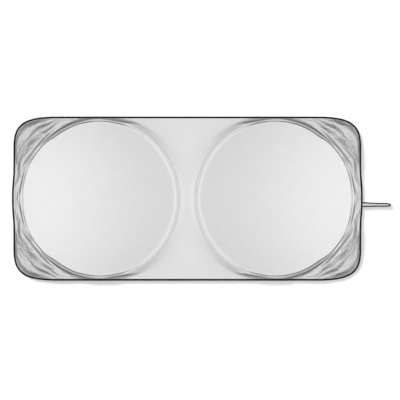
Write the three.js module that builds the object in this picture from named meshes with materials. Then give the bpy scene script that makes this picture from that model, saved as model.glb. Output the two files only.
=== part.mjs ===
// Windscreen sunshade: a sheet of silver-coated cloth held open by two sprung steel hoops.
// Each hoop hangs in a casing tape sewn to the back of the sheet, a black binding closes the raw edge,
// and an elastic loop on one short side holds the shade shut once it is twisted and folded.
// It lies flat, silver side up. Units are millimetres: X along the length, Y up the glass, Z off the floor.
// The origin is under the middle of the sheet, on the floor.

import * as THREE from 'three';
import { mergeVertices } from 'three/addons/utils/BufferGeometryUtils.js';

// Hoops: flat spring steel bent round on its thin side, its two ends butted in a crimped ferrule
const hoopRadius = 337; // to the middle of the strip
const hoopGap = 77; // between the two hoops, where the shade folds in half
const stripWidth = 2.6; // along the hoop's axis
const stripThickness = 0.7;
const buttGap = 1; // between the strip's two ends
const ferruleLength = 24;
const ferruleWall = 0.4;
const crimpGap = 0.1;

// Casing tapes, one under each hoop, sewn along both edges and hanging between them like a trough
const casingWidth = 13;
const casingThickness = 0.5;
const bellyWidth = 4; // flat part under the steel
const stitchInset = 1; // from the tape's edge to its row of stitches

// Binding tape, folded over the edge of the sheet
const bindingWidth = 7.5;
const bindingThickness = 0.5;
const bindingNose = 0.6; // how far the fold is rounded
const casingToBinding = 0.5; // where a hoop comes nearest to the long edge

// Sheet
const clothThickness = 0.3;
const clearance = 0.3; // between sewn layers that lie on each other
const sideMargin = 39; // from a hoop to the middle of the short side
const sideBow = 6.5; // how far a hoop pushes the short side out
const bowReach = 150; // half the length of that bulge
const cornerRunX = 190;
const cornerRunY = 130;
const cornerFullness = 0.77; // 0 cuts the corner straight, 1 leaves it square

// Slack cloth between a hoop and the binding
const ridgeHeight = 2.2; // of the sheet over a hoop, above the stitches beside it
const edgeLift = 1.5; // how far the stiff binding keeps clear of the floor
const droopReach = 35; // how far from a hoop the cloth takes to sink most of the way
const leavingWidth = 6; // beyond the stitches, before a fold has its height
const holdWidth = 16; // beside the binding, where it holds the folds down
const edgeHold = 0.6; // share of a fold's height that the binding lets through to the edge
const puckerHeight = 1.8; // a pucker along the long edge, beside each hoop
const puckerDepth = 16.5; // from the outer edge to its crest
const puckerWidth = 6; // half its width
const puckerLength = 190; // from the middle of the hoop towards the fold line

// The folds of one corner. Each runs round the hoop at a distance, which is a share of the way from the
// stitches to the corner. Its middle lies at an angle from the long edge, in degrees, and it fades out over a
// spread of them. It rises steeply from the hoop's side and falls away from it as its two widths say.
const folds = [
  { share: 0.15, middle: 42, spread: 36, height: 7.8, inner: 11, outer: 28 },
  { share: 0.6, middle: 46, spread: 20, height: 6, inner: 9, outer: 16 },
  { share: 0.93, middle: 47, spread: 11, height: 3, inner: 9, outer: 9 },
  { share: 0.065, middle: 90, spread: 16, height: 4, inner: 6, outer: 8 },
];

// Elastic loop
const cordDiameter = 3.8;
const loopReach = 119.5; // beyond the binding, to the middle of the cord
const loopY = -25.5; // where the loop leaves the short side
const loopSpread = 15.8; // between its two strands at the binding
const loopTipSpread = 8; // between them just before the bend
const loopSlant = -1.5; // how far the tip hangs to one side

// Spacing of the model's points
const bowSteps = 3;
const sideSteps = 3;
const cornerSteps = 14;
const puckerSteps = 5;
const longEdgeSteps = 11;
const foldLineSteps = 8;
const puckerReach = 55; // along the long edge, past the middle of the hoop
const clothStep = 7.5; // along a spoke in the folded corners
const panelStep = 35; // along a spoke in the smooth panel between the hoops
const cordSides = 8;
const cordSteps = 44;

const casingHalf = casingWidth / 2;
const halfHeight = hoopRadius + casingHalf + casingToBinding + bindingWidth;
const hoopX = hoopGap / 2 + hoopRadius;
const halfLength = hoopX + hoopRadius + sideMargin;

// Across a hoop: half the ferrule, and the stitches at the foot of the sheet's ridge on each side
const ferruleHalf = stripThickness / 2 + crimpGap + ferruleWall;
const footHalf = casingHalf - stitchInset;
const footRadius = hoopRadius + footHalf;

// Heights above the floor, up through the casing, the ferrule and the steel in it to the sheet's underside
const ferruleBottom = casingThickness + clearance;
const stripBottom = ferruleBottom + ferruleWall + crimpGap;
const stripTop = stripBottom + stripWidth;
const ferruleTop = stripTop + crimpGap + ferruleWall;
const crestLevel = ferruleTop + clearance + ridgeHeight * ferruleHalf / footHalf;
const tautLevel = crestLevel - ridgeHeight;
const slackLevel = bindingThickness + clearance + edgeLift;

// Depths from the outer edge: the raw edge of the cloth, and the line where it comes out of the binding
const rawEdgeDepth = bindingThickness + clearance;
const hemDepth = bindingWidth + clearance;

const smooth = THREE.MathUtils.smoothstep;

// Solids are made of triangles, each an array of three points
function addTriangle(triangles, a, b, c) {
  const hasArea = new THREE.Triangle(a, b, c).getArea() > 1e-6;
  if (hasArea) triangles.push([a, b, c]);
}

function addQuad(triangles, a, b, c, d) {
  addTriangle(triangles, a, b, c);
  addTriangle(triangles, a, c, d);
}

// The same triangles seen in a mirror, with their points in reverse order so that they still face outwards
function mirrored(triangles, signX, signY) {
  const flip = signX * signY < 0;
  return triangles.map((triangle) => {
    const points = triangle.map((p) => new THREE.Vector3(p.x * signX, p.y * signY, p.z));
    return flip ? points.reverse() : points;
  });
}

// A skin over a row of loops that have the same number of points, closed on itself or capped at both ends
function loft(loops, closed) {
  const triangles = [];
  const spans = closed ? loops.length : loops.length - 1;
  for (let i = 0; i < spans; i++) {
    const here = loops[i];
    const next = loops[(i + 1) % loops.length];
    here.forEach((point, k) => {
      const along = (k + 1) % here.length;
      addQuad(triangles, point, here[along], next[along], next[k]);
    });
  }
  return triangles;
}

function cap(loop) {
  const corners = [];
  for (let k = 1; k < loop.length - 1; k++) corners.push([loop[0], loop[k + 1], loop[k]]);
  return corners;
}

function volume(triangles) {
  return triangles.reduce((sum, [a, b, c]) => sum + a.dot(b.clone().cross(c)) / 6, 0);
}

function mesh(name, triangles, material) {
  const outward = volume(triangles) > 0 ? triangles : triangles.map(([a, b, c]) => [a, c, b]);
  const geometry = new THREE.BufferGeometry().setFromPoints(outward.flat());
  const solid = new THREE.Mesh(mergeVertices(geometry), material);
  solid.geometry.computeVertexNormals();
  solid.name = name;
  return solid;
}

// One quarter of the outer edge, from the middle of the short side to the middle of the long one.
// Each point carries the direction into the sheet.
function quarterOutline() {
  const sideX = halfLength - sideBow;
  const cornerX = sideX - cornerRunX;
  const cornerY = halfHeight - cornerRunY;
  const puckerX = hoopX + puckerReach;
  const corner = (x, y) => new THREE.Vector2(x, y);
  const pieces = [
    [bowSteps, new THREE.CubicBezierCurve(
      corner(halfLength, 0), corner(halfLength, bowReach / 2),
      corner(sideX, bowReach / 2), corner(sideX, bowReach),
    )],
    [sideSteps, new THREE.LineCurve(corner(sideX, bowReach), corner(sideX, cornerY))],
    [cornerSteps, new THREE.CubicBezierCurve(
      corner(sideX, cornerY), corner(sideX, cornerY + cornerRunY * cornerFullness),
      corner(cornerX + cornerRunX * cornerFullness, halfHeight), corner(cornerX, halfHeight),
    )],
    [puckerSteps, new THREE.LineCurve(corner(cornerX, halfHeight), corner(puckerX, halfHeight))],
    [longEdgeSteps, new THREE.LineCurve(corner(puckerX, halfHeight), corner(0, halfHeight))],
  ];
  const stations = [];
  pieces.forEach(([steps, curve], index) => {
    for (let i = index === 0 ? 0 : 1; i <= steps; i++) {
      const tangent = curve.getTangentAt(i / steps);
      stations.push({ point: curve.getPointAt(i / steps), inward: new THREE.Vector2(-tangent.y, tangent.x) });
    }
  });
  return stations;
}

const outline = quarterOutline();

function inset(station, depth) {
  return station.point.clone().addScaledVector(station.inward, depth);
}

// Where a point lies round its hoop: the angle from the long edge towards the short one, and the radius
function roundHoop(point) {
  return { azimuth: Math.atan2(point.x - hoopX, point.y), radius: Math.hypot(point.x - hoopX, point.y) };
}

// How far the corner reaches beyond the stitches, which is where the hem lies farthest from the hoop
const hemRadii = outline.map((station) => roundHoop(inset(station, hemDepth)))
  .filter(({ azimuth }) => azimuth > 0)
  .map(({ radius }) => radius);
const cornerDepth = Math.max(...hemRadii) - footRadius;

// Height of the folds at one place outside a hoop
function foldsAt(azimuth, radius) {
  const height = folds.reduce((sum, fold) => {
    const away = radius - footRadius - fold.share * cornerDepth;
    const across = away / (away < 0 ? fold.inner : fold.outer);
    const along = (azimuth - THREE.MathUtils.degToRad(fold.middle)) / THREE.MathUtils.degToRad(fold.spread);
    return sum + fold.height * Math.exp(-(across ** 2) - along ** 4);
  }, 0);
  return height * smooth(radius, footRadius, footRadius + leavingWidth);
}

// Height of the pucker that runs along the long edge, from the hoop towards the fold line
function puckerAt(x, y) {
  const across = (halfHeight - puckerDepth - y) / puckerWidth;
  const run = hoopX - x;
  const along = smooth(run, 0, puckerLength / 3) * (1 - smooth(run, puckerLength / 2, puckerLength));
  return puckerHeight * Math.exp(-across * across) * along;
}

// Height of the slack cloth's underside without its folds, which sinks from the stitches to the edge's level
function droopAt(radius) {
  return THREE.MathUtils.lerp(slackLevel, tautLevel, Math.exp((footRadius - radius) / droopReach));
}

// Height of the sheet's underside at the edge beside one outline station
function edgeLevel(station) {
  const { azimuth, radius } = roundHoop(inset(station, hemDepth));
  return droopAt(radius) + edgeHold * foldsAt(azimuth, radius);
}

// A spoke is a row of points on the sheet's underside, from the hoop's centre over the hoop to the border.
// The place of a point along its spoke is told by at: below 0 over the hoop, 0 to 1 in the slack cloth,
// and 2 at the raw edge in the binding.
function spoke(border, station) {
  const { azimuth, radius } = roundHoop(border);
  const direction = new THREE.Vector2(border.x - hoopX, border.y).divideScalar(radius);
  const place = (at, r, z) => ({
    at, point: new THREE.Vector3(hoopX + direction.x * r, direction.y * r, z),
  });
  const knots = [
    place(-3, 0, tautLevel),
    place(-2, hoopRadius - footHalf, tautLevel),
    place(-1, hoopRadius, crestLevel),
  ];
  const width = radius - footRadius;
  const folded = station && border.x > hoopX - puckerLength;
  const count = Math.max(1, Math.round(width / (folded ? clothStep : panelStep)));
  for (let i = 0; i <= count; i++) {
    const at = i / count;
    const r = footRadius + width * at;
    const hold = 1 - (1 - edgeHold) * smooth(r, radius - holdWidth, radius);
    const knot = place(at, r, droopAt(r) + hold * foldsAt(azimuth, r));
    knot.point.z += puckerAt(knot.point.x, knot.point.y) * (1 - at ** 4);
    knots.push(knot);
  }
  if (station) {
    const edge = inset(station, rawEdgeDepth);
    knots.push({ at: 2, point: new THREE.Vector3(edge.x, edge.y, edgeLevel(station)) });
  }
  return knots;
}

const outlineSpokes = outline.map((station) => spoke(inset(station, hemDepth), station));
const foldLineSpokes = Array.from({ length: foldLineSteps }, (_, i) => (
  spoke(new THREE.Vector2(0, (halfHeight - hemDepth) * (1 - (i + 1) / foldLineSteps)), null)
));
const spokes = [...outlineSpokes, ...foldLineSpokes];

// The triangles between two neighbouring spokes, which may have different numbers of points
function web(here, next) {
  const triangles = [];
  let i = 0;
  let j = 0;
  while (i < here.length - 1 || j < next.length - 1) {
    const stepHere = i < here.length - 1 ? here[i + 1].at : Infinity;
    const stepNext = j < next.length - 1 ? next[j + 1].at : Infinity;
    if (stepHere <= stepNext) {
      addTriangle(triangles, here[i].point, here[i + 1].point, next[j].point);
      i += 1;
    } else {
      addTriangle(triangles, here[i].point, next[j + 1].point, next[j].point);
      j += 1;
    }
  }
  return triangles;
}

function raised(point) {
  return new THREE.Vector3(point.x, point.y, point.z + clothThickness);
}

// The whole sheet is one quarter mirrored both ways
function sheetTriangles() {
  const quarter = [];
  for (let i = 0; i < spokes.length - 1; i++) {
    web(spokes[i], spokes[i + 1]).forEach(([a, b, c]) => {
      quarter.push([raised(a), raised(b), raised(c)], [a, c, b]);
    });
  }
  for (let i = 0; i < outlineSpokes.length - 1; i++) {
    const here = outlineSpokes[i].at(-1).point;
    const next = outlineSpokes[i + 1].at(-1).point;
    addQuad(quarter, here, next, raised(next), raised(here));
  }
  return [[1, 1], [-1, 1], [1, -1], [-1, -1]].flatMap(([x, y]) => mirrored(quarter, x, y));
}

// The binding's folded section, as depth from the outer edge and height from the middle of the cloth
function bindingSection() {
  const inner = clothThickness / 2 + clearance;
  const outer = inner + bindingThickness;
  const top = [
    [0, outer - bindingNose], [bindingNose, outer], [bindingWidth, outer],
    [bindingWidth, inner], [bindingThickness, inner],
  ];
  return [...top, ...top.map(([depth, height]) => [depth, -height]).reverse()];
}

function bindingTriangles() {
  const section = bindingSection();
  const quarter = outline.map((station) => {
    const middle = edgeLevel(station) + clothThickness / 2;
    return section.map(([depth, height]) => {
      const at = inset(station, depth);
      return new THREE.Vector3(at.x, at.y, middle + height);
    });
  });
  const turned = (point, x, y) => new THREE.Vector3(point.x * x, point.y * y, point.z);
  const flipped = (loops, x, y) => loops.map((loop) => loop.map((point) => turned(point, x, y)));
  const back = [...quarter].reverse();
  return loft([
    ...quarter.slice(0, -1), ...flipped(back, -1, 1).slice(0, -1),
    ...flipped(quarter, -1, -1).slice(0, -1), ...flipped(back, 1, -1).slice(0, -1),
  ], true);
}

// Angles round a hoop at which the sheet has its spokes, so that tape, steel and cloth keep their gaps
const upperAngles = spokes.map((knots) => Math.atan2(knots[1].point.y, knots[1].point.x - hoopX));
const lowerAngles = upperAngles.slice(1, -1).reverse().map((angle) => 2 * Math.PI - angle);

// Loops of a section, given as distance from the hoop's line and height, at each angle
function hoopLoops(section, angles) {
  return angles.map((angle) => section.map(([offset, height]) => new THREE.Vector3(
    hoopX + (hoopRadius + offset) * Math.cos(angle), (hoopRadius + offset) * Math.sin(angle), height,
  )));
}

function rectangle(halfWidth, bottom, top) {
  return [[-halfWidth, bottom], [halfWidth, bottom], [halfWidth, top], [-halfWidth, top]];
}

function casingTriangles() {
  const brim = tautLevel - clearance;
  const lower = [[-casingHalf, brim - casingThickness], [-bellyWidth / 2, 0]];
  const upper = [[-casingHalf, brim], [-bellyWidth / 2, casingThickness]];
  const both = (side) => [...side, ...side.map(([offset, height]) => [-offset, height]).reverse()];
  const section = [...both(lower), ...both(upper).reverse()];
  return loft(hoopLoops(section, [...upperAngles, ...lowerAngles]), true);
}

function hoopTriangles() {
  const end = buttGap / 2 / hoopRadius;
  const ferruleEnd = ferruleLength / 2 / hoopRadius;
  const start = [end, ferruleEnd];
  const finish = start.map((angle) => 2 * Math.PI - angle).reverse();
  const angles = [...start, ...upperAngles.slice(1), ...lowerAngles, ...finish];
  const loops = hoopLoops(rectangle(stripThickness / 2, stripBottom, stripTop), angles);
  return [...loft(loops, false), ...cap(loops[0]), ...cap(loops.at(-1)).map((t) => t.reverse())];
}

// The ferrule is a flat tube: an outer and an inner skin, joined by a rim at each end
function ferruleTriangles() {
  const half = ferruleLength / 2 / hoopRadius;
  const angles = [-half, 0, half];
  const outer = hoopLoops(rectangle(ferruleHalf, ferruleBottom, ferruleTop), angles);
  const hole = rectangle(ferruleHalf - ferruleWall, ferruleBottom + ferruleWall, ferruleTop - ferruleWall);
  const inner = hoopLoops(hole, angles);
  return loft([...outer, ...inner.reverse()], true);
}

// The cord leaves the binding, runs out, turns and comes back beside itself
function loopCurve() {
  const [middle, next] = outline;
  const edgeX = (y) => THREE.MathUtils.mapLinear(Math.abs(y), middle.point.y, next.point.y,
    middle.point.x, next.point.x);
  const noseLevel = edgeLevel(middle) + clothThickness / 2;
  const strand = (share, side) => {
    const spread = THREE.MathUtils.lerp(loopSpread, loopTipSpread, share) / 2;
    const y = loopY + loopSlant * share + side * spread;
    const x = edgeX(loopY + side * loopSpread / 2) + clearance + (loopReach - clearance) * share;
    return new THREE.Vector3(x, y, THREE.MathUtils.lerp(noseLevel, cordDiameter / 2, share));
  };
  const tip = new THREE.Vector3(halfLength + loopReach, loopY + loopSlant, cordDiameter / 2);
  const shares = [0, 0.5, 0.94];
  const out = shares.map((share) => strand(share, 1));
  const back = [...shares].reverse().map((share) => strand(share, -1));
  return new THREE.CatmullRomCurve3([...out, tip, ...back]);
}

function loopMesh(material) {
  const section = new THREE.Shape().absarc(0, 0, cordDiameter / 2, 0, 2 * Math.PI);
  const settings = { steps: cordSteps, curveSegments: cordSides / 2, extrudePath: loopCurve() };
  const solid = new THREE.Mesh(new THREE.ExtrudeGeometry(section, settings), material);
  solid.name = 'elastic_loop';
  return solid;
}

function colour(name, red, green, blue, roughness, metalness) {
  const material = new THREE.MeshStandardMaterial({ roughness, metalness });
  material.name = name;
  material.color.setRGB(red, green, blue, THREE.SRGBColorSpace);
  return material;
}

const silverCloth = colour('silver_cloth', 0.84, 0.84, 0.85, 0.45, 0.5);
const blackTape = colour('black_tape', 0.04, 0.04, 0.045, 0.85, 0);
const greyTape = colour('grey_tape', 0.55, 0.55, 0.57, 0.8, 0);
const springSteel = colour('spring_steel', 0.6, 0.61, 0.63, 0.35, 1);
const crimpedSteel = colour('crimped_steel', 0.7, 0.7, 0.68, 0.4, 1);
const blackElastic = colour('black_elastic', 0.03, 0.03, 0.03, 0.75, 0);

const sunshade = new THREE.Group();
sunshade.name = 'windscreen_sunshade';
sunshade.add(mesh('silver_sheet', sheetTriangles(), silverCloth));
sunshade.add(mesh('edge_binding', bindingTriangles(), blackTape));

for (const [side, sign] of [['left', -1], ['right', 1]]) {
  sunshade.add(mesh(`${side}_casing`, mirrored(casingTriangles(), sign, 1), greyTape));
  sunshade.add(mesh(`${side}_hoop`, mirrored(hoopTriangles(), sign, 1), springSteel));
  sunshade.add(mesh(`${side}_hoop_ferrule`, mirrored(ferruleTriangles(), sign, 1), crimpedSteel));
}
sunshade.add(loopMesh(blackElastic));

export default sunshade;
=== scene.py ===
# %% [markdown]
# # A windscreen sunshade, dressed for the camera
# A sheet of silver-coated cloth is held open by two sprung steel hoops. Each hoop runs in a casing tape
# that is sewn to the back of the sheet, a black tape binds the raw edge, and an elastic loop at one end
# holds the shade shut once it is folded. The solid model already says where everything lies. Here each
# soft piece is made again, finer, as a surface worked out with numpy, and gets the finish of the real one.

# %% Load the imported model
import math

import bmesh
import bpy
import numpy as np
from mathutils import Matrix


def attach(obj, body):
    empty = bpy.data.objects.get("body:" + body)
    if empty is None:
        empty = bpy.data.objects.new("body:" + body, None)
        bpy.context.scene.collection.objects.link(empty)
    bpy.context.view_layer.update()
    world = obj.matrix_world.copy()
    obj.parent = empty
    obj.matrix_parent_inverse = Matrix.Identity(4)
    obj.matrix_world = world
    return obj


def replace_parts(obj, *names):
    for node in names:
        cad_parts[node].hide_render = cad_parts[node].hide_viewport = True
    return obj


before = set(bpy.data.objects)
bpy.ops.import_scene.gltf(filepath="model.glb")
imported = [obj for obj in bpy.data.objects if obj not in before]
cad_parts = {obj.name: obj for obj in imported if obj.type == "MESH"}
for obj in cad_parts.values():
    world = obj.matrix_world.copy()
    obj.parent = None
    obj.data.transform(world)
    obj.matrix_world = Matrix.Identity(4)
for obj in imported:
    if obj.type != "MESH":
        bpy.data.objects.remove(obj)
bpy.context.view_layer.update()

# %% [markdown]
# ## Sizes
# The sizes of the solid model are repeated here in metres, because a piece that stands for a node has to
# lie where the node lies. X runs along the shade, Y up the windscreen and Z off the floor.

# %% Sizes of the hoops, tapes and sheet
MM = 0.001
HOOP_RADIUS = 337 * MM
HOOP_X = 375.5 * MM  # from the middle of the shade to the middle of a hoop
HALF_LENGTH = 751.5 * MM
HALF_HEIGHT = 351.5 * MM
SIDE_X = 745 * MM  # the straight part of a short side
BOW_REACH = 150 * MM  # half the length of the stretch that the hoop pushes out
CORNER = (190 * MM, 130 * MM)
CORNER_FULLNESS = 0.77  # 0 cuts the corner straight, 1 leaves it square

BINDING_WIDTH = 7.5 * MM
BINDING_THICKNESS = 0.5 * MM
CASING_WIDTH = 13 * MM
CASING_THICKNESS = 0.5 * MM
CLOTH = 0.3 * MM
GAP = 0.3 * MM  # between sewn layers that lie on each other
HEM_DEPTH = BINDING_WIDTH + GAP
RAW_EDGE_DEPTH = BINDING_THICKNESS + GAP

FOOT = 5.5 * MM  # from the hoop's line to its stitches
FOOT_RADIUS = HOOP_RADIUS + FOOT
TAUT_LEVEL = 2.84 * MM  # of the cloth's underside at the stitches
SLACK_LEVEL = 2.3 * MM
DROOP_REACH = 35 * MM  # from the stitches, to sink most of the way from one to the other
print("flat sheet:", round(2 * HALF_LENGTH, 3), "by", round(2 * HALF_HEIGHT, 3), "m")

# %% [markdown]
# ## Camera
# The photograph looks straight down on the shade. A long lens far above it keeps the outline square.

# %% Camera
PHOTO_WIDTH = 1.715  # metres of floor across the picture
PHOTO_MIDDLE = (0.0544, -0.006)  # the place on the floor in the middle of the picture
CAMERA_HEIGHT = 5.0

camera_data = bpy.data.cameras.new("camera")
camera_data.lens = camera_data.sensor_width * CAMERA_HEIGHT / PHOTO_WIDTH
camera = bpy.data.objects.new("camera", camera_data)
camera.location = (*PHOTO_MIDDLE, CAMERA_HEIGHT)
bpy.context.collection.objects.link(camera)
bpy.context.scene.camera = camera
bpy.context.scene.view_settings.view_transform = "Standard"
print("lens:", round(camera_data.lens, 1), "mm")

# %% [markdown]
# ## Making meshes
# Every new piece is a grid of points. Two short helpers turn such a grid into a mesh object, and the
# points that fall on each other along its seams are merged, so each piece is closed.

# %% Helpers: grids of points into meshes


def grid_faces(rows, columns, wrap_rows=False, wrap_columns=False):
    """Quads between neighbours in a grid of points that is numbered row by row."""
    index = np.arange(rows * columns).reshape(rows, columns)
    if wrap_rows:
        index = np.vstack([index, index[:1]])
    if wrap_columns:
        index = np.hstack([index, index[:, :1]])
    corners = (index[:-1, :-1], index[1:, :-1], index[1:, 1:], index[:-1, 1:])
    return np.stack(corners, axis=-1).reshape(-1, 4)


def make_piece(name, points, faces, finish, uv=None, masks=None, merge=0.0):
    """A smooth mesh object from an array of points and an array of faces.

    uv holds one pair for each point, and masks maps the name of a vertex attribute to its values. Faces
    with different numbers of corners come as a list.
    """
    mesh = bpy.data.meshes.new(name)
    mesh.from_pydata(points.reshape(-1, 3), [], faces.tolist() if isinstance(faces, np.ndarray) else faces)
    for mask, values in (masks or {}).items():
        mesh.attributes.new(mask, "FLOAT", "POINT").data.foreach_set("value", np.float32(values).ravel())
    if uv is not None:
        corner_points = np.empty(len(mesh.loops), dtype=np.int32)
        mesh.loops.foreach_get("vertex_index", corner_points)
        layer = mesh.uv_layers.new(name="along_and_across")
        layer.data.foreach_set("uv", np.float32(uv.reshape(-1, 2)[corner_points]).ravel())
    work = bmesh.new()
    work.from_mesh(mesh)
    if merge:
        bmesh.ops.remove_doubles(work, verts=work.verts, dist=merge)
    bmesh.ops.recalc_face_normals(work, faces=work.faces)
    work.to_mesh(mesh)
    work.free()
    mesh.polygons.foreach_set("use_smooth", [True] * len(mesh.polygons))
    mesh.materials.append(finish)
    piece = bpy.data.objects.new(name, mesh)
    bpy.context.collection.objects.link(piece)
    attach(piece, "root")
    print(f"{name}: {len(mesh.vertices)} points, {len(mesh.polygons)} faces")
    return piece


# %% [markdown]
# ## Finishes
# A finish is one Principled surface. What is the same all over it is set on its own sockets, and what
# varies, such as weave, crumple and wear, is worked out by a few nodes from the object's coordinates.

# %% Helpers: material nodes


def new_finish(name, **sockets):
    """A material of one Principled surface, with the named sockets set."""
    finish = bpy.data.materials.new(name)
    finish.use_nodes = True
    surface = finish.node_tree.nodes["Principled BSDF"]
    for socket, value in sockets.items():
        surface.inputs[socket.replace("_", " ")].default_value = value
    return finish


def add_node(finish, kind, inputs=None, **settings):
    """A node with its settings; each input is a number, a colour or the output of another node."""
    tree = finish.node_tree
    node = tree.nodes.new(kind)
    for setting, value in settings.items():
        setattr(node, setting, value)
    for socket, value in (inputs or {}).items():
        if isinstance(value, bpy.types.NodeSocket):
            tree.links.new(value, node.inputs[socket])
        else:
            node.inputs[socket].default_value = value
    return node


def drive(finish, socket, output):
    """Lets a node's output set one socket of the finish's surface."""
    surface = finish.node_tree.nodes["Principled BSDF"]
    finish.node_tree.links.new(output, surface.inputs[socket])


def remap(finish, value, low, high):
    """A value from 0 to 1 spread over low to high."""
    return add_node(finish, "ShaderNodeMapRange", {"Value": value, "To Min": low, "To Max": high}).outputs[0]


def combine(finish, operation, first, second):
    """One arithmetic operation on two values, such as their product."""
    return add_node(finish, "ShaderNodeMath", {0: first, 1: second}, operation=operation).outputs[0]


def mix_colour(finish, factor, low, high):
    """A colour between low and high."""
    inputs = {"Factor": factor, "A": low, "B": high}
    return add_node(finish, "ShaderNodeMix", inputs, data_type="RGBA").outputs["Result"]


def bump(finish, height, strength, distance, under=None):
    """Bump from a height between 0 and 1, over another bump where under is given."""
    inputs = {"Height": height, "Strength": strength, "Distance": distance}
    if under is not None:
        inputs["Normal"] = under
    return add_node(finish, "ShaderNodeBump", inputs).outputs["Normal"]


# %% [markdown]
# The cloth's metallic coat is smooth where the hoops or the fold hold it flat, and crumpled and a little
# duller where it is slack. In the flat panel between the hoops its colour is also painted lighter, a
# painted highlight for the light that flat cloth catches. Two attributes of the mesh, slack and panel, say
# how much of each there is.

# %% Silver-coated cloth
silver = new_finish("silver_cloth", Metallic=0.85, Specular_IOR_Level=0.5)
silver_at = add_node(silver, "ShaderNodeTexCoord").outputs["Object"]
slack = add_node(silver, "ShaderNodeAttribute", attribute_name="slack").outputs["Fac"]
panel = add_node(silver, "ShaderNodeAttribute", attribute_name="panel").outputs["Fac"]
patches = add_node(silver, "ShaderNodeTexNoise", {"Vector": silver_at, "Scale": 35.0, "Detail": 4.0})

taut_coat = mix_colour(silver, patches.outputs["Fac"], (0.74, 0.74, 0.75, 1), (0.79, 0.79, 0.80, 1))
slack_coat = mix_colour(silver, patches.outputs["Fac"], (0.72, 0.72, 0.73, 1), (0.82, 0.82, 0.83, 1))
coat = mix_colour(silver, slack, taut_coat, slack_coat)
# Painted highlight: the panel's colour is made lighter than the coat, standing in for the light the flat
# cloth between the hoops catches.
drive(silver, "Base Color", mix_colour(silver, panel, coat, (0.85, 0.85, 0.86, 1)))
roughness = remap(silver, slack, 0.36, 0.4)
drive(silver, "Roughness", combine(silver, "SUBTRACT", roughness, remap(silver, panel, 0, 0.06)))

# %% Crumple and weave of the cloth
crumple = add_node(silver, "ShaderNodeTexNoise", {"Vector": silver_at, "Scale": 130.0, "Detail": 3.0})
crumpled = bump(silver, combine(silver, "MULTIPLY", crumple.outputs["Fac"], slack), 0.35, 0.004)
threads = [
    add_node(silver, "ShaderNodeTexWave", {"Vector": silver_at, "Scale": 900.0}, bands_direction=way)
    for way in ("X", "Y")
]
weave = combine(silver, "MULTIPLY", *(thread.outputs["Fac"] for thread in threads))
drive(silver, "Normal", bump(silver, weave, 0.1, 0.0001, under=crumpled))
print("silver cloth:", len(silver.node_tree.nodes), "nodes")

# %% [markdown]
# Tapes, thread and elastic are woven or twisted along their length, so their ribs follow a UV map whose
# first number is the length along the piece. The steel only gets a fine, uneven grain.

# %% Tapes, thread and elastic
WAVE_LENGTH = 0.314  # between two bands of a wave texture of scale 1


def ribbed_finish(name, colour, roughness, rib, strength):
    """Woven tape with ribs across it, rib metres apart, read from the piece's own lengthwise UV."""
    finish = new_finish(name, Roughness=roughness, Specular_IOR_Level=0.15)
    at = add_node(finish, "ShaderNodeUVMap", uv_map="along_and_across").outputs[0]
    inputs = {"Vector": at, "Scale": WAVE_LENGTH / rib}
    ribs = add_node(finish, "ShaderNodeTexWave", inputs, bands_direction="X")
    fluff = add_node(finish, "ShaderNodeTexNoise", {"Vector": at, "Scale": 900.0, "Detail": 2.0})
    wear = add_node(finish, "ShaderNodeTexNoise", {"Vector": at, "Scale": 14.0, "Detail": 3.0})
    dark = tuple(0.75 * c for c in colour) + (1,)
    light = tuple(1.35 * c for c in colour) + (1,)
    drive(finish, "Base Color", mix_colour(finish, wear.outputs["Fac"], dark, light))
    fine = bump(finish, fluff.outputs["Fac"], 0.3, 0.0002)
    drive(finish, "Normal", bump(finish, ribs.outputs["Fac"], strength, 0.0002, under=fine))
    return finish


black_tape = ribbed_finish("black_tape", (0.018, 0.018, 0.02), roughness=0.8, rib=0.0011, strength=0.6)
grey_tape = ribbed_finish("grey_tape", (0.42, 0.42, 0.43), roughness=0.75, rib=0.0009, strength=0.5)
black_elastic = ribbed_finish(
    "black_elastic", (0.012, 0.012, 0.013), roughness=0.7, rib=0.0008, strength=0.4)
black_thread = ribbed_finish("black_thread", (0.02, 0.02, 0.022), roughness=0.6, rib=0.0004, strength=0.5)
grey_thread = ribbed_finish("grey_thread", (0.22, 0.22, 0.23), roughness=0.6, rib=0.0004, strength=0.5)
ribbed = (black_tape, grey_tape, black_elastic, black_thread, grey_thread)
print("ribbed:", ", ".join(finish.name for finish in ribbed))

# %% Steel of the hoops and their ferrules


def steel_finish(name, colour, roughness, grain):
    """Bright steel with a fine, uneven grain; its roughness lies a little to each side of the one given."""
    finish = new_finish(name, Base_Color=colour + (1,), Metallic=1.0)
    at = add_node(finish, "ShaderNodeTexCoord").outputs["Object"]
    specks = add_node(finish, "ShaderNodeTexNoise", {"Vector": at, "Scale": grain, "Detail": 5.0})
    drive(finish, "Roughness", remap(finish, specks.outputs["Fac"], roughness - 0.1, roughness + 0.12))
    drive(finish, "Normal", bump(finish, specks.outputs["Fac"], 0.15, 0.0002))
    return finish


def dress_node(node, finish):
    """Gives a node of the solid model its finish."""
    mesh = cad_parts[node].data
    mesh.materials.clear()
    mesh.materials.append(finish)


spring_steel = steel_finish("spring_steel", (0.56, 0.57, 0.59), roughness=0.32, grain=260.0)
crimped_steel = steel_finish("crimped_steel", (0.68, 0.68, 0.66), roughness=0.38, grain=420.0)
for end in ("left", "right"):
    dress_node(f"{end}_hoop", spring_steel)
    dress_node(f"{end}_hoop_ferrule", crimped_steel)
print("dressed the solid model's own", ", ".join(name for name in sorted(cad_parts) if "hoop" in name))

# %% [markdown]
# ## The outline
# The edge of the shade is one quarter, mirrored both ways. It runs from the middle of the short side,
# which the hoop pushes out a little, round a full corner to the middle of the long side.

# %% Outline of one quarter
STATION_SPACING = 4.3 * MM
CURVE_STEPS = 400  # of each curve, before the stations are set out evenly


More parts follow.
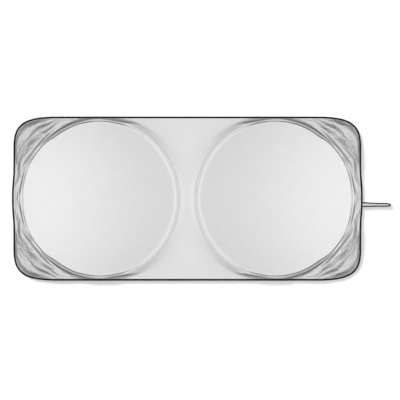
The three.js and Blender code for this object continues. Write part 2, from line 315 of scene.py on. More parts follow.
def bezier(points, t):
    """The cubic curve through four control points, and its direction, at each t from 0 to 1."""
    a, b, c, d = (np.array(p) for p in points)
    t = t[:, None]
    s = 1 - t
    place = s**3 * a + 3 * s**2 * t * b + 3 * s * t**2 * c + t**3 * d
    direction = s**2 * (b - a) + 2 * s * t * (c - b) + t**2 * (d - c)
    return place, direction


def straight(start, end):
    """A straight line as four control points a third of its length apart."""
    a, b = np.array(start), np.array(end)
    return a, a + (b - a) / 3, b - (b - a) / 3, b


def run_along(points):
    """Length of the line through the points, from its start to each of them."""
    steps = np.linalg.norm(np.diff(points, axis=0), axis=1)
    return np.concatenate([[0], np.cumsum(steps)])


def quarter_outline(spacing):
    """Points along the outer edge, spacing metres apart, each with its unit normal into the sheet."""
    corner_x, corner_y = SIDE_X - CORNER[0], HALF_HEIGHT - CORNER[1]
    curves = [
        ((HALF_LENGTH, 0), (HALF_LENGTH, BOW_REACH / 2), (SIDE_X, BOW_REACH / 2), (SIDE_X, BOW_REACH)),
        straight((SIDE_X, BOW_REACH), (SIDE_X, corner_y)),
        ((SIDE_X, corner_y), (SIDE_X, corner_y + CORNER[1] * CORNER_FULLNESS),
         (corner_x + CORNER[0] * CORNER_FULLNESS, HALF_HEIGHT), (corner_x, HALF_HEIGHT)),
        straight((corner_x, HALF_HEIGHT), (0, HALF_HEIGHT)),
    ]
    fine = [bezier(curve, np.linspace(0, 1, CURVE_STEPS)[k > 0:]) for k, curve in enumerate(curves)]
    places = np.vstack([place for place, _ in fine])
    directions = np.vstack([direction for _, direction in fine])
    run = run_along(places)
    even = np.linspace(0, run[-1], round(run[-1] / spacing) + 1)
    edge = np.stack([np.interp(even, run, places[:, k]) for k in (0, 1)], axis=1)
    heading = np.stack([np.interp(even, run, directions[:, k]) for k in (0, 1)], axis=1)
    heading /= np.linalg.norm(heading, axis=1, keepdims=True)
    return edge, np.stack([-heading[:, 1], heading[:, 0]], axis=1)


EDGE, INWARD = quarter_outline(STATION_SPACING)
print("quarter outline:", len(EDGE), "stations")

# %% [markdown]
# ## The sheet
# Inside the hoops the cloth is taut. It rises over the steel between two rows of stitches, and beyond
# them it is slack: it sinks towards the edge and lies in folds round each corner. A cloth simulation
# could make such folds, but never the same ones as on the real shade, so each fold is given one by one.
# Lines of crests and hollows run along the hoop, each with a radius and a height that change from place to
# place, and between two lines the cloth follows a smooth S curve.

# %% Folds of a corner


def smooth_line(at, knots, values):
    """A smooth curve through values at the knots: cubic pieces whose slopes are the neighbours' mean."""
    knots, values = np.array(knots, dtype=float), np.array(values, dtype=float)
    slopes = np.gradient(values, knots)
    k = np.clip(np.searchsorted(knots, at) - 1, 0, len(knots) - 2)
    span = knots[k + 1] - knots[k]
    t = np.clip((at - knots[k]) / span, 0, 1)
    rest = 1 - t
    return (
        values[k] * (1 + 2 * t) * rest**2 + slopes[k] * span * t * rest**2
        + values[k + 1] * t**2 * (3 - 2 * t) - slopes[k + 1] * span * t**2 * rest
    )


def ease(value, start, end):
    """0 before start, 1 after end, and a smooth S between them."""
    t = np.clip((value - start) / (end - start), 0, 1)
    return t * t * (3 - 2 * t)


# The crests and hollows of a corner, from the hoop outwards, as lines that run along the hoop. Each has a
# radius and a height over the slack cloth, in millimetres, at every azimuth of FOLD_AZIMUTHS, in degrees
# from the long edge towards the short side. The last line is the hem, which has only a height.
FOLD_AZIMUTHS = (2, 10, 18, 26, 34, 42, 50, 58, 66, 74, 82, 90, 98)
FOLD_LINES = {
    "hoop_hollow": (
        (344, 345, 350, 350, 345, 341, 337, 337, 350, 346, 344, 344, 344),
        (0, 0, 0, 0, 0.1, 0.2, 0.3, 0.3, 0.7, 0.6, 0.4, 0.3, 0.4)),
    "first_crest": (
        (352, 353, 358, 362, 361, 359, 356, 360, 363, 350, 351, 349, 351),
        (0, 0, 0, 0.8, 3.8, 8.2, 8.8, 8.2, 5.7, 1.8, 0.7, 0.3, 0.7)),
    "first_shoulder": (
        (356, 357, 362, 366, 364, 363, 362, 365, 368, 352, 354, 352, 354),
        (0, 0, 0, 1.0, 3.9, 8.2, 8.8, 8.1, 5.6, 1.8, 0.7, 0.2, 0.7)),
    "first_step": (
        (364, 366, 370, 374, 376, 380, 390, 390, 385, 370, 372, 368, 372),
        (0, 0, 0, 1.0, 2.3, 6.6, 5.0, 5.4, 3.2, -0.2, -0.2, -0.4, -0.2)),
    "second_crest": (
        (372, 374, 378, 380, 382, 391, 393, 394, 387, 376, 377, 372, 377),
        (0, 0, 0, 1.0, 2.8, 6.8, 4.9, 5.0, 3.0, -0.2, -0.2, -0.4, -0.2)),
    "second_step": (
        (382, 384, 388, 393, 394, 410, 403, 406, 391, 384, 384, 376, 384),
        (0, 0, 0, 0.6, 0.8, 4.1, 3.4, 3.5, 2.2, -0.2, -0.2, -0.4, -0.2)),
    "third_crest": (
        (392, 394, 398, 401, 402, 421, 434, 418, 393, 392, 390, 380, 390),
        (0, 0, 0, 0.6, 1.1, 4.3, 2.7, 2.4, 1.9, -0.2, -0.2, -0.4, -0.2)),
    "hem": (
        None,
        (0, 0, 0, 0.1, 0, -0.5, -0.6, 0, 0.8, -0.2, -0.2, -0.4, -0.2)),
}
FOLD_START = HOOP_RADIUS - 4 * MM
LEAST_FALL = 2 * MM  # between two lines, however near they lie
PAST_HEM = 3 * MM  # the last fall runs on under the binding
print("fold lines of a corner:", ", ".join(FOLD_LINES))


def folds_at(azimuth, radius, border):
    """Height over the slack cloth: low + (high - low) times an S curve, from each line to the next."""
    degrees, at = np.degrees(azimuth), FOLD_AZIMUTHS
    inside = (degrees > at[0]) & (degrees < at[-1])
    start, low = FOLD_START, 0
    total = np.zeros_like(radius)
    for radii, heights in FOLD_LINES.values():
        high = np.where(inside, smooth_line(degrees, at, heights), 0) * MM
        end = border + PAST_HEM if radii is None else smooth_line(degrees, at, radii) * MM
        end = np.maximum(end, start + LEAST_FALL)
        total = np.where(radius >= start, low + (high - low) * ease(radius, start, end), total)
        start, low = end, high
    return total


# %% Fine crumple of the slack cloth
CRUMPLE_HEIGHT = 0.5 * MM
CRUMPLE_CELLS = 257  # random heights each way, before they repeat
CRUMPLE_ARC = 390 * MM  # the radius round the hoop at which the cells have their length
# The two sizes of crumple: a cell's length round the hoop, its width, its share of the height and its seed
CRUMPLES = ((24 * MM, 7 * MM, 1.0, 3), (9 * MM, 4.5 * MM, 0.5, 8))


def crumple_at(u, v, seed):
    """Random heights at whole numbers of u and v, blended between them by smooth S curves."""
    heights = np.random.default_rng(seed).uniform(-1, 1, (CRUMPLE_CELLS, CRUMPLE_CELLS))
    low_u, low_v = np.floor(u).astype(int), np.floor(v).astype(int)
    s, t = ease(u - low_u, 0, 1), ease(v - low_v, 0, 1)
    corner = [
        [heights[(low_u + i) % CRUMPLE_CELLS, (low_v + j) % CRUMPLE_CELLS] for j in (0, 1)]
        for i in (0, 1)
    ]
    near = corner[0][0] * (1 - t) + corner[0][1] * t
    far = corner[1][0] * (1 - t) + corner[1][1] * t
    return near * (1 - s) + far * s


def both_crumples(azimuth, radius):
    """The sum of both sizes of crumple, with cells that lie along the hoop."""
    arc = azimuth * CRUMPLE_ARC
    return sum(
        share * crumple_at(arc / length, radius / width, seed)
        for length, width, share, seed in CRUMPLES
    )


print("crumple: cells of", " and ".join(f"{1000 * c[0]:.0f} by {1000 * c[1]:.1f} mm" for c in CRUMPLES))

# %% Where the cloth is slack, and where it is the panel between the hoops
SLACK_STARTS = (2, 16)  # degrees from the long edge
SLACK_DEPTH = 9 * MM
PANEL_ENDS = (-24, -4)  # degrees from the long edge
PANEL_DEPTH = 12 * MM
PANEL_RADII = (355 * MM, 460 * MM)


# The panel mask paints the cloth's colour lighter there, a painted highlight, and lowers its roughness a
# little.
def panel_at(azimuth, radius):
    """From 0 elsewhere to 1 in the flat cloth between the hoops, where it is farthest from them."""
    near, far = ease(radius, HOOP_RADIUS, FOOT_RADIUS + PANEL_DEPTH), ease(radius, *PANEL_RADII)
    return (0.5 * near + 0.5 * far) * (1 - ease(azimuth, *np.radians(PANEL_ENDS)))


def slack_at(azimuth, radius):
    """How slack the cloth is, from 0 inside the hoops to 1 in the corners and along the short sides."""
    return ease(radius, FOOT_RADIUS, FOOT_RADIUS + SLACK_DEPTH) * ease(azimuth, *np.radians(SLACK_STARTS))


# %% Pucker beside the long edge
PUCKER_HEIGHT = 1 * MM
PUCKER_WIDTH = 6 * MM  # half of it
PUCKER_DEPTH = 14 * MM  # from the long edge to its crest, beside the middle of the hoop
PUCKER_SLANT = 0.13
PUCKER_RISE = (0, 63 * MM)  # from the middle of the hoop towards the fold line
PUCKER_FALL = (95 * MM, 190 * MM)


def pucker_at(x, y):
    """A long pucker beside the long edge, a bell across and fading in and out along it."""
    run = HOOP_X - x
    across = (HALF_HEIGHT - PUCKER_DEPTH - PUCKER_SLANT * run - y) / PUCKER_WIDTH
    along = ease(run, *PUCKER_RISE) * (1 - ease(run, *PUCKER_FALL))
    return PUCKER_HEIGHT * np.exp(-(across**2)) * along


# %% Height of the sheet
LOOSE_STARTS = (-4, 10)  # degrees from the long edge, over which the cloth begins to sink
# The cloth's rise over a hoop at each azimuth, in millimetres: its height, how far it reaches inwards and
# outwards, and how far its crest leans inwards from the steel.
RIDGE_AZIMUTHS = (-60, -45, -30, -18, -8, 4, 12, 20, 28, 36, 44, 52, 60, 66, 74, 82, 90)
RIDGE_HEIGHT = (2.2, 2.2, 2.2, 2.2, 2.3, 2.6, 3.4, 4.2, 4.0, 4.2, 2.8, 2.6, 2.8, 2.4, 3.2, 3.0, 2.6)
RIDGE_INNER = (22, 18, 12, 9, 8, 7, 7, 7, 7, 7, 6, 6, 5.5, 8, 5.5, 6, 8)
RIDGE_OUTER = (38, 38, 34, 28, 26, 24, 20, 19, 20, 20, 10, 9, 9, 14, 15, 16, 24)
RIDGE_LEAN = (0, 0, 0, 1, 1.5, 1.5, 1.5, 1.5, 4, 5.5, 1, 0, -1, -2.5, 1, 2, 2)


def ridge_at(azimuth, radius):
    """The cloth's rise over a hoop: half a cosine wave on each side, as wide as the cloth there is free."""
    degrees = np.clip(np.degrees(azimuth), RIDGE_AZIMUTHS[0], RIDGE_AZIMUTHS[-1])
    tables = (RIDGE_HEIGHT, RIDGE_INNER, RIDGE_OUTER, RIDGE_LEAN)
    height, inner, outer, lean = (smooth_line(degrees, RIDGE_AZIMUTHS, table) * MM for table in tables)
    away = radius - HOOP_RADIUS + lean
    away = np.clip(away / np.where(away < 0, inner, outer), -1, 1)
    return height * (0.5 + 0.5 * np.cos(math.pi * away))


def underside_at(azimuth, radius, border):
    """Height of the cloth's underside: the sum of droop, ridge, folds, pucker and crumple.

    The droop goes from the taut to the slack level as an exponential of the distance beyond the stitches.
    """
    x, y = HOOP_X + radius * np.sin(azimuth), radius * np.cos(azimuth)
    beyond = np.maximum(radius - FOOT_RADIUS, 0)
    loose = ease(azimuth, *np.radians(LOOSE_STARTS))
    droop = TAUT_LEVEL - (TAUT_LEVEL - SLACK_LEVEL) * loose * (1 - np.exp(-beyond / DROOP_REACH))
    share = np.clip(beyond / np.maximum(border - FOOT_RADIUS, 1 * MM), 0, 1)
    slack = slack_at(azimuth, radius) * (1 - 0.5 * share)
    return (
        droop + ridge_at(azimuth, radius) + folds_at(azimuth, radius, border)
        + pucker_at(x, y) * (1 - share**4) + CRUMPLE_HEIGHT * slack * both_crumples(azimuth, radius)
    )


# %% [markdown]
# The sheet is a fan of spokes round each hoop. Every spoke has the same number of points: a few across
# the disc, close ones over the ridge, and the rest spread over the slack cloth as far as the raw edge.

# %% Spokes from the hoop's centre to the edge
DISC_RADII = np.array([0, 100, 200, 270, 308, 316, 321, 325, 328.5]) * MM
RIDGE_OFFSETS = np.array([-5.5, -3.9, -2.4, -1.1, 0, 1.1, 2.4, 3.9]) * MM
SLACK_ROWS = 24
FOLD_LINE_SPOKES = 40


def polar(points):
    """Azimuth round the hoop, from the long edge towards the short side, and radius."""
    x, y = points[..., 0] - HOOP_X, points[..., 1]
    return np.arctan2(x, y), np.hypot(x, y)


def sheet_quarter():
    """Points of one quarter's underside, spoke by spoke, with the masks of slack and panel at each."""
    hem = EDGE + INWARD * HEM_DEPTH
    fold_line = np.linspace(HALF_HEIGHT - HEM_DEPTH, 0, FOLD_LINE_SPOKES)[1:]
    borders = np.vstack([hem, np.stack([np.zeros_like(fold_line), fold_line], axis=1)])
    azimuth, border = (v[:, None] for v in polar(borders))
    slack_share = np.linspace(0, 1, SLACK_ROWS)[None, :]
    inner = np.concatenate([DISC_RADII, HOOP_RADIUS + RIDGE_OFFSETS])[None, :] * np.ones_like(border)
    radius = np.hstack([inner, FOOT_RADIUS + (border - FOOT_RADIUS) * slack_share])
    height = underside_at(azimuth, radius, border)
    direction = np.stack([np.sin(azimuth), np.cos(azimuth)], axis=-1)
    flat = np.array([HOOP_X, 0]) + radius[..., None] * direction
    raw = np.vstack([EDGE + INWARD * RAW_EDGE_DEPTH, borders[len(EDGE):]])
    flat = np.hstack([flat, raw[:, None, :]])
    height = np.hstack([height, height[:, -1:]])
    masks = {"slack": slack_at(azimuth, radius), "panel": panel_at(azimuth, radius)}
    return np.dstack([flat, height]), {name: np.hstack([v, v[:, -1:]]) for name, v in masks.items()}


# %% Whole sheet
MIRRORS = ((1, 1), (-1, 1), (-1, -1), (1, -1))


def mirror_quarters(points):
    """The quarter and its three mirror images, with the faces of all four."""
    rows, columns = points.shape[:2]
    faces = grid_faces(rows, columns)
    last_column = faces[:, 3] % columns == columns - 1
    beyond_edge = faces[:, 0] // columns >= len(EDGE) - 1
    faces = faces[~(last_column & beyond_edge)]
    parts, all_faces = [], []
    for k, (x, y) in enumerate(MIRRORS):
        parts.append((points * np.array([x, y, 1])).reshape(-1, 3))
        all_faces.append((faces if x * y > 0 else faces[:, ::-1]) + k * rows * columns)
    return np.vstack(parts), np.vstack(all_faces)


def sheet_piece():
    """The whole closed sheet: underside, top side, and a wall along the raw edge."""
    quarter, masks = sheet_quarter()
    low, faces = mirror_quarters(quarter)
    high = low + np.array([0, 0, CLOTH])
    rows, columns = quarter.shape[:2]
    rim = np.arange(len(EDGE)) * columns + columns - 1
    walls = []
    for k in range(len(MIRRORS)):
        edge = rim + k * rows * columns
        walls.append(np.stack([edge[:-1], edge[1:], edge[1:] + len(low), edge[:-1] + len(low)], axis=1))
    all_faces = np.vstack([faces, faces[:, ::-1] + len(low), *walls])
    skins = 2 * len(MIRRORS)
    return make_piece(
        "silver_cloth_sheet", np.vstack([low, high]), all_faces, silver,
        masks={name: np.tile(values.ravel(), skins) for name, values in masks.items()}, merge=0.02 * MM)


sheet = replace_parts(sheet_piece(), "silver_sheet")

# %% [markdown]
# ## The binding
# The raw edge is closed by a woven tape folded round it. Its section is a flat, rounded hook, carried
# round the outline at the height where the cloth lies. Beside the elastic loop it swells over the cord.

# %% The whole outline, with its height


def edge_level():
    """Height of the cloth's middle at each station of the outline."""
    azimuth, border = polar(EDGE + INWARD * HEM_DEPTH)
    return underside_at(azimuth, border, border) + CLOTH / 2


def whole_outline():
    """The quarter's stations with their normals and heights, mirrored into one closed line."""
    quarter = np.hstack([EDGE, INWARD, edge_level()[:, None]])
    quarters = [
        (quarter if x * y > 0 else quarter[::-1]) * np.array([x, y, x, y, 1])
        for x, y in MIRRORS
    ]
    return np.vstack([stations[:-1] for stations in quarters])


RIM = whole_outline()
RIM_RUN = run_along(RIM[:, :2])
print("whole outline:", len(RIM), "stations,", round(RIM_RUN[-1], 3), "m round")

# %% Binding tape
TAPE_ROUND = 12 * MM  # once round the skin of the folded tape
TAPE_SKIN = CLOTH / 2 + GAP + BINDING_THICKNESS  # from the middle of the cloth to the tape's face
LOOP_Y = -25.5 * MM
LOOP_SPREAD = 15.8 * MM
SWELL = 1.2  # how much higher the tape is over an end of the cord
SWELL_WIDTH = 2.6 * MM
SWELL_DEPTH = 2 * MM
SWELL_REACH = 2.5 * MM
NOSE_POINTS = 6


def binding_section():
    """Depth and height of the folded tape's skin: round at the fold, flat behind, open inside.

    The upper half runs from the inside of the fold out to the hem, back over the tape's face and round a
    quarter circle to the outer edge, and the lower half is its mirror image.
    """
    inner, outer = CLOTH / 2 + GAP, TAPE_SKIN
    turn = np.linspace(math.pi / 2, 0, NOSE_POINTS)
    nose = outer * np.stack([1 - np.cos(turn), np.sin(turn)], axis=1)
    top = [
        (BINDING_WIDTH, inner), (BINDING_WIDTH, outer * 0.92), (6.6 * MM, outer),
        (4 * MM, outer * 1.03), (2 * MM, outer),
    ]
    upper = np.vstack([[(BINDING_THICKNESS, inner * 0.8)], top, nose])
    lower = upper[:-1][::-1] * np.array([1, -1])
    return np.vstack([upper, lower])


def swell_at(x, y, depth):
    """How much the tape swells over the two ends of the cord: a bell along the edge times one across it."""
    away = [(y - LOOP_Y - side * LOOP_SPREAD / 2) / SWELL_WIDTH for side in (-1, 1)]
    along = (x > 0) * (np.exp(-(away[0] ** 2)) + np.exp(-(away[1] ** 2)))
    return 1 + SWELL * along * np.exp(-(((depth - SWELL_DEPTH) / SWELL_REACH) ** 2))


def binding_piece():
    """The section carried along the outline."""
    section = binding_section()
    depth = section[None, :, 0]
    height = section[None, :, 1] * swell_at(RIM[:, :1], RIM[:, 1:2], depth)
    flat = RIM[:, None, :2] + depth[..., None] * RIM[:, None, 2:4]
    points = np.dstack([flat, RIM[:, None, 4] + height])
    across = np.linspace(0, 1, len(section))[None, :] * TAPE_ROUND
    uv = np.dstack([RIM_RUN[:, None] + 0 * across, across + 0 * RIM_RUN[:, None]])
    faces = grid_faces(len(RIM), len(section), wrap_rows=True, wrap_columns=True)
    return make_piece("edge_tape", points, faces, black_tape, uv=uv)


edge_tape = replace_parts(binding_piece(), "edge_binding")

# %% [markdown]
# ## Casing tapes
# Under each hoop hangs a strip of grey tape, sewn along both edges. The steel lies in it as in a trough.
# Its height is worked out from the cloth above it, so that its brims follow the cloth's underside.

# %% Heights under a hoop
CASING_STATIONS = 420
CASING_OFFSETS = np.array([-6.5, -5.6, -4.2, -3, -2, 0, 2, 3, 4.2, 5.6, 6.5]) * MM
TROUGH_HALF = 2 * MM
TINY = 1e-6  # keeps a divisor off zero


def border_at(azimuth):
    """Radius of the hem, or of the fold line, in the direction of each azimuth."""
    hem_azimuth, hem_radius = polar(EDGE + INWARD * HEM_DEPTH)
    beyond = HOOP_X / np.maximum(np.abs(np.sin(azimuth)), TINY)
    hem = np.interp(azimuth, hem_azimuth[::-1], hem_radius[::-1])
    return np.where(azimuth < hem_azimuth[-1], beyond, hem)


def cloth_level(turn, radius):
    """Height of the cloth's underside at an angle round the hoop, counted from the short side."""
    azimuth = np.arctan2(np.cos(turn), np.abs(np.sin(turn))) + 0 * radius
    return underside_at(azimuth, radius, border_at(azimuth))


def casing_level(turn, radius):
    """Height of the tape's lower face: on the floor under the steel, just below the cloth at its brims."""
    brim = cloth_level(turn, radius) - GAP - CASING_THICKNESS
    rise = (np.abs(radius - HOOP_RADIUS) - TROUGH_HALF) / (CASING_WIDTH / 2 - TROUGH_HALF)
    return np.clip(rise, 0, 1) * brim


print("cloth over the steel, at the short side:", round(float(cloth_level(0, HOOP_RADIUS)), 4), "m")

# %% Casing tapes


def casing_piece(name, side):
    """A sagging strip of tape as a closed skin; its brims follow the underside of the cloth."""
    offset = np.concatenate([CASING_OFFSETS, CASING_OFFSETS[::-1]])[None, :]
    upper = np.arange(offset.size)[None, :] >= len(CASING_OFFSETS)
    turn = np.linspace(0, 2 * math.pi, CASING_STATIONS, endpoint=False)[:, None]
    radius = HOOP_RADIUS + offset + 0 * turn
    height = casing_level(turn, radius) + np.where(upper, CASING_THICKNESS, 0)
    points = np.dstack([side * (HOOP_X + radius * np.cos(turn)), radius * np.sin(turn), height])
    uv = np.dstack([turn * HOOP_RADIUS + 0 * offset, offset + 0 * turn])
    faces = grid_faces(len(turn), offset.size, wrap_rows=True, wrap_columns=True)
    return make_piece(name, points, faces, grey_tape, uv=uv)


casings = [
    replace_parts(casing_piece("left_casing_tape", -1), "left_casing"),
    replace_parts(casing_piece("right_casing_tape", 1), "right_casing"),
]

# %% [markdown]
# ## Stitches
# Lockstitch shows as a row of short threads that dip into the cloth between two needle holes. One
# stitch is a small closed bead, and a whole row is that bead set out along a line in one array.

# %% One row of stitches
STITCH_PITCH = 3.2 * MM
# A stitch of each kind: how far its back stands up, its length and its width
HOOP_STITCH = (0.35 * MM, 2.6 * MM, 1.1 * MM)
BINDING_STITCH = (0.2 * MM, 2.4 * MM, 0.7 * MM)
BAR_TACK_THREAD = (0.3 * MM, 5.5 * MM, 0.7 * MM)


def stitch_row(name, places, headings, stitch, up, finish, slot):
    """Beads of thread at the places, each along its heading; up is 1, or -1 on a lower face.

    A bead is a tube of five sides through four rings: its middle has the full width, and its ends are a
    quarter of it and dip to the needle holes.
    """
    height, length, width = stitch
    lift = height * up
    along = np.array([-0.5, -0.3, 0.3, 0.5])
    swell = np.array([0.25, 1.0, 1.0, 0.25])
    turn = np.linspace(0, 2 * math.pi, 5, endpoint=False)
    ring_across = swell[:, None] * np.cos(turn) * width / 2
    ring_up = swell[:, None] * np.sin(turn) * height + (swell[:, None] - 1) * lift
    heads = headings / np.linalg.norm(headings, axis=1, keepdims=True)
    sides = np.stack([-heads[:, 1], heads[:, 0]], axis=1)
    flat = (
        places[:, None, None, :2] + heads[:, None, None, :] * (along[:, None] * length)[None, :, :, None]
        + sides[:, None, None, :] * ring_across[None, :, :, None]
    )
    points = np.concatenate([flat, (places[:, None, None, 2] + ring_up[None])[..., None]], axis=-1)
    rings, corners = ring_across.shape
    faces = grid_faces(rings, corners, wrap_columns=True)
    offsets = np.arange(len(places))[:, None, None] * rings * corners
    quads = (faces[None] + offsets).reshape(-1, 4).tolist()
    start = (np.arange(corners)[None] + offsets[:, 0]).tolist()
    end = ((np.arange(corners)[::-1] + (rings - 1) * corners)[None] + offsets[:, 0]).tolist()
    bead_uv = np.stack([along[:, None] * length + 0 * ring_across, ring_across], axis=-1)
    uv = np.tile(bead_uv, (len(places), 1, 1, 1))
    return make_piece(name, points, quads + start + end, finish, uv=uv)


# %% Where the rows run
BINDING_SEAM_DEPTH = 5.8 * MM
BAR_TACK_DEPTHS = np.arange(2, 5, 0.6) * MM


def hoop_row(side, radius, upper):
    """Places and headings of a row of stitches round a hoop, on the cloth or on the tape's lower face."""
    count = round(2 * math.pi * radius / STITCH_PITCH)
    turn = np.arange(count) / count * 2 * math.pi
    reach = np.full(count, radius)
    level = cloth_level(turn, reach) + CLOTH if upper else casing_level(turn, reach)
    places = np.stack([side * (HOOP_X + radius * np.cos(turn)), radius * np.sin(turn), level], axis=1)
    return places, np.stack([-side * np.sin(turn), np.cos(turn)], axis=1)


def binding_row(upper):
    """Places and headings of the stitches along the binding, on its upper or its lower face."""
    closed = np.vstack([RIM, RIM[:1]])
    run = run_along(closed[:, :2])
    even = np.arange(round(run[-1] / STITCH_PITCH)) * STITCH_PITCH
    at = np.stack([np.interp(even, run, closed[:, k]) for k in range(5)], axis=1)
    flat = at[:, :2] + at[:, 2:4] * BINDING_SEAM_DEPTH
    level = at[:, 4] + (TAPE_SKIN if upper else -TAPE_SKIN)
    return np.column_stack([flat, level]), at[:, [3, 2]] * (1, -1)


def bar_tack(side):
    """Places and headings of the close threads that hold one end of the elastic in the binding."""
    depth = BAR_TACK_DEPTHS
    y = LOOP_Y + side * LOOP_SPREAD / 2 + 0 * depth
    level = edge_level()[0] + TAPE_SKIN * swell_at(HALF_LENGTH, y, depth)
    return np.stack([HALF_LENGTH - depth, y, level], axis=1), np.stack([0 * depth, 1 + 0 * depth], axis=1)


def joined(*rows):
    """The places of several rows in one array, and their headings in another."""
    return tuple(np.vstack(parts) for parts in zip(*rows))


# %% Sew the hoops, the binding and the loop
FACES = (("upper", 1), ("lower", -1))
for name, side in (("left", -1), ("right", 1)):
    for face, up in FACES:
        row = joined(*(hoop_row(side, HOOP_RADIUS + offset, up > 0) for offset in (-FOOT, FOOT)))
        stitch_row(
            f"{name}_hoop_stitches_{face}", *row, HOOP_STITCH, up, grey_thread, "grey_tape")
for face, up in FACES:
    stitch_row(
        f"binding_stitches_{face}", *binding_row(up > 0), BINDING_STITCH, up, black_thread, "black_tape")
stitch_row(
    "loop_bar_tacks", *joined(bar_tack(-1), bar_tack(1)), BAR_TACK_THREAD, 1, black_thread, "black_tape")

# %% [markdown]
# ## The elastic loop
# A length of black braided elastic is caught in the binding by its two ends. It lies on the floor in a
# narrow loop. The cord is a tube along a smooth curve, and the braid is worked into its radius.

# %% Helper: a smooth curve through points


def catmull_rom(knots, count):
    """A smooth curve through the knots, with its speed set by the root of the distance between them."""
    knots = np.array(knots)
    before, after = 2 * knots[0] - knots[1], 2 * knots[-1] - knots[-2]
    padded = np.vstack([before, knots, after])
    spans = len(knots) - 1
    t = np.linspace(0, spans, count)
    k = np.minimum(t.astype(int), spans - 1)
    t = (t - k)[:, None]
    p0, p1, p2, p3 = (padded[k + n] for n in range(4))
    d01, d12, d23 = (
        np.maximum(np.sqrt(np.linalg.norm(b - a, axis=1, keepdims=True)), TINY)
        for a, b in ((p0, p1), (p1, p2), (p2, p3))
    )
    m1 = (p2 - p1) + d12 * ((p1 - p0) / d01 - (p2 - p0) / (d01 + d12))
    m2 = (p2 - p1) + d12 * ((p3 - p2) / d23 - (p3 - p1) / (d12 + d23))
    a, b = 2 * (p1 - p2) + m1 + m2, -3 * (p1 - p2) - 2 * m1 - m2
    return a * t**3 + b * t**2 + m1 * t + p1


# %% Route of the elastic loop
CORD = 3.8 * MM
LOOP_REACH = 119.5 * MM  # beyond the binding, to the middle of the cord
LOOP_TIP_SPREAD = 8 * MM  # between the two strands just before the bend
LOOP_SLANT = -1.5 * MM  # how far the tip hangs to one side
STRAND_SHARES = (0, 0.25, 0.5, 0.94)  # of the way to the tip, where the route has its points
CORD_IN_TAPE = 3 * MM
EXIT_LIFT = 0.1 * MM  # over the middle of the cloth, where the cord leaves the binding
EXIT_INSET = 0.2 * MM
ROUTE_POINTS = 30
TUBE_POINTS = 460


def strand_point(share, side, exit_level):
    """A place on one strand: straight out and together, and down to the floor over the first quarter."""
    spread = LOOP_SPREAD + (LOOP_TIP_SPREAD - LOOP_SPREAD) * share
    y = LOOP_Y + LOOP_SLANT * share + side * spread / 2
    level = exit_level + (CORD / 2 - exit_level) * min(1, share * 4)
    return HALF_LENGTH - EXIT_INSET + LOOP_REACH * share, y, level


def loop_route(count):
    """Out of the binding, along the floor, round the tip and back beside itself."""
    exit_level = edge_level()[0] + EXIT_LIFT
    caught_x = HALF_LENGTH - EXIT_INSET - CORD_IN_TAPE
    ends = [(caught_x, LOOP_Y + side * LOOP_SPREAD / 2, exit_level) for side in (1, -1)]
    out = [strand_point(share, 1, exit_level) for share in STRAND_SHARES]
    back = [strand_point(share, -1, exit_level) for share in STRAND_SHARES[::-1]]
    tip = (HALF_LENGTH + LOOP_REACH, LOOP_Y + LOOP_SLANT, CORD / 2)
    return catmull_rom([ends[0], *out, tip, *back, ends[1]], count)


ROUTE = loop_route(ROUTE_POINTS)
FINE_ROUTE = loop_route(TUBE_POINTS)

# %% Braided elastic cord
JACKET = 0.5 * MM  # how far the fuzzy braid stands proud of the cord's size
CORD_SIDES = 40
BRAID_HEIGHT = 0.1 * MM
BRAID_STRANDS = 8  # that wind each way
BRAID_LAY = 9 * MM
CLOSED_END = 0.3  # share of the width that is left where the cord ends in the binding
OFF_FLOOR = 0.05 * MM  # where the soft braid is pressed flat


def cord_piece(name, route):
    """A tube round the route. Its radius follows two sets of strands that wind opposite ways.

    Each set is a cosine of the angle round the cord plus or minus the twist along it, and the braid's
    height at a place is the greater of the two.
    """
    along = np.gradient(route, axis=0)
    along /= np.linalg.norm(along, axis=1, keepdims=True)
    across = np.cross(np.array([0, 0, 1.0]), along)
    across /= np.linalg.norm(across, axis=1, keepdims=True)
    up = np.cross(along, across)
    run = run_along(route)[:, None]
    turn = np.linspace(0, 2 * math.pi, CORD_SIDES, endpoint=False)[None, :]
    twist = BRAID_STRANDS / 2 * (2 * math.pi * run / BRAID_LAY)
    braid = np.maximum(np.cos(BRAID_STRANDS * turn + twist), np.cos(BRAID_STRANDS * turn - twist))
    radius = CORD / 2 + JACKET + BRAID_HEIGHT * braid
    radius[[0, -1]] *= CLOSED_END
    points = (
        route[:, None, :] + across[:, None, :] * (radius * np.cos(turn))[..., None]
        + up[:, None, :] * (radius * np.sin(turn))[..., None]
    )
    points[..., 2] = np.maximum(points[..., 2], OFF_FLOOR)
    uv = np.dstack([run + 0 * turn, turn * CORD / 2 + 0 * run])
    faces = grid_faces(len(route), CORD_SIDES, wrap_columns=True).tolist()
    last = len(route) * CORD_SIDES - 1
    faces += [list(range(CORD_SIDES)), [last - k for k in range(CORD_SIDES)]]
    return make_piece(name, points, faces, black_elastic, uv=uv)


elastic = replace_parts(cord_piece("braided_elastic_loop", FINE_ROUTE), "elastic_loop")

# %% [markdown]


# %% [markdown]
# ## Floor and wall
# The floor is plain and nearly white. Far round it a pale wall curves up from the floor and glows a
# little, as a studio's sweep does, so that a view from a low angle also ends in a pale ground.

# %% Floor and wall
FLOOR_HALF = 9.0
WALL_RADIUS = 8.5
WALL_HEIGHT = 3.4
WALL_GLOW = 0.36
COVE = 1.5  # radius of the curve from the floor up to the wall
COVE_POINTS = 9
WALL_SIDES = 64
WALL_LIFT = 0.002  # over the floor
PAPER = {"Base_Color": (0.75, 0.75, 0.75, 1), "Roughness": 0.9, "Specular_IOR_Level": 0.1}


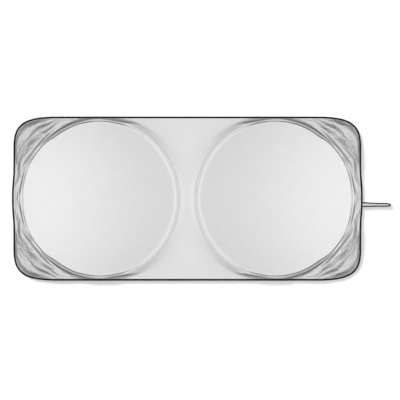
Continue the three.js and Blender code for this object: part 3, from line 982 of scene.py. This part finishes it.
def stage_piece(name, points, faces, finish):
    """A smooth mesh object that is no part of the shade."""
    mesh = bpy.data.meshes.new(name)
    mesh.from_pydata(points, [], faces)
    mesh.polygons.foreach_set("use_smooth", [True] * len(mesh.polygons))
    mesh.materials.append(finish)
    piece = bpy.data.objects.new(name, mesh)
    bpy.context.collection.objects.link(piece)
    return piece


def wall_points():
    """A profile that leaves the floor, bends through a quarter circle and runs straight up, turned round."""
    bend = np.linspace(0, math.pi / 2, COVE_POINTS)
    profile = np.stack([WALL_RADIUS - COVE + COVE * np.sin(bend), COVE - COVE * np.cos(bend)], axis=1)
    profile = np.vstack([profile, (WALL_RADIUS, WALL_HEIGHT)])
    turn = np.linspace(0, 2 * math.pi, WALL_SIDES, endpoint=False)[:, None]
    level = profile[:, 1] + WALL_LIFT + 0 * turn
    return np.dstack([profile[:, 0] * np.cos(turn), profile[:, 0] * np.sin(turn), level])


floor_corners = [(x * FLOOR_HALF, y * FLOOR_HALF, 0) for x, y in ((-1, -1), (1, -1), (1, 1), (-1, 1))]
floor = stage_piece("floor", floor_corners, [(0, 1, 2, 3)], new_finish("floor", **PAPER))
wall_finish = new_finish("studio_wall", Emission_Color=(1, 1, 1, 1), Emission_Strength=WALL_GLOW, **PAPER)
turned = wall_points()
wall_faces = grid_faces(*turned.shape[:2], wrap_rows=True)[:, ::-1].tolist()
wall = stage_piece("studio_wall", turned.reshape(-1, 3), wall_faces, wall_finish)
wall.visible_shadow = False  # the low suns shine in over it
print("floor:", 2 * FLOOR_HALF, "m wide, wall:", WALL_HEIGHT, "m high")

# %% [markdown]
# ## Light
# Three softboxes hang over the shade, one above the fold line and a brighter one over each end. Level
# cloth mirrors them and looks bright, while the sides of folds mirror the dark room. A low, soft key from
# the upper left lights the floor alone, and lays a short shadow to the lower right.

# %% Softboxes
BOX_HEIGHT = 2.2
SIDE_BOX_X = 1.1
SIDE_BOX_RADIANCE = 1.76


def softbox(name, x, size, radiance):
    """A rectangular area light of even brightness that hangs over the shade and faces straight down."""
    data = bpy.data.lights.new(name, "AREA")
    data.shape = "RECTANGLE"
    data.size, data.size_y = size
    data.energy = radiance * math.pi * size[0] * size[1]
    lamp = bpy.data.objects.new(name, data)
    lamp.location = (x, 0, BOX_HEIGHT)
    bpy.context.collection.objects.link(lamp)
    lamp.visible_camera = False
    print(f"{name}: {data.energy:.2f} W")


softbox("middle_softbox", 0, size=(1.2, 1.9), radiance=0.98)
softbox("left_softbox", -SIDE_BOX_X, size=(1.0, 1.7), radiance=SIDE_BOX_RADIANCE)
softbox("right_softbox", SIDE_BOX_X, size=(1.0, 1.7), radiance=SIDE_BOX_RADIANCE)

# %% Suns that light the floor alone, and the dark room
SUN_TURN = -45  # degrees, which puts the suns to the upper left
ROOM_COLOUR = (0.035, 0.035, 0.036, 1)

floor_only = bpy.data.collections.new("floor_only")
floor_only.objects.link(floor)


def floor_sun(name, elevation, spread, energy):
    """A sun that lights the floor alone; elevation and spread are in degrees."""
    data = bpy.data.lights.new(name, "SUN")
    data.angle = math.radians(spread)
    data.energy = energy
    lamp = bpy.data.objects.new(name, data)
    lamp.rotation_euler = (0, math.radians(elevation - 90), math.radians(SUN_TURN))
    bpy.context.collection.objects.link(lamp)
    lamp.light_linking.receiver_collection = floor_only
    print(f"{name}: {elevation} degrees up")


floor_sun("low_key", elevation=9.2, spread=10, energy=11.8)
floor_sun("middle_key", elevation=30, spread=30, energy=0.7)
floor_sun("floor_fill", elevation=90, spread=20, energy=0.5)

world = bpy.data.worlds.new("studio")
world.use_nodes = True
bpy.context.scene.world = world
room = world.node_tree.nodes["Background"]
room.inputs["Color"].default_value = ROOM_COLOUR
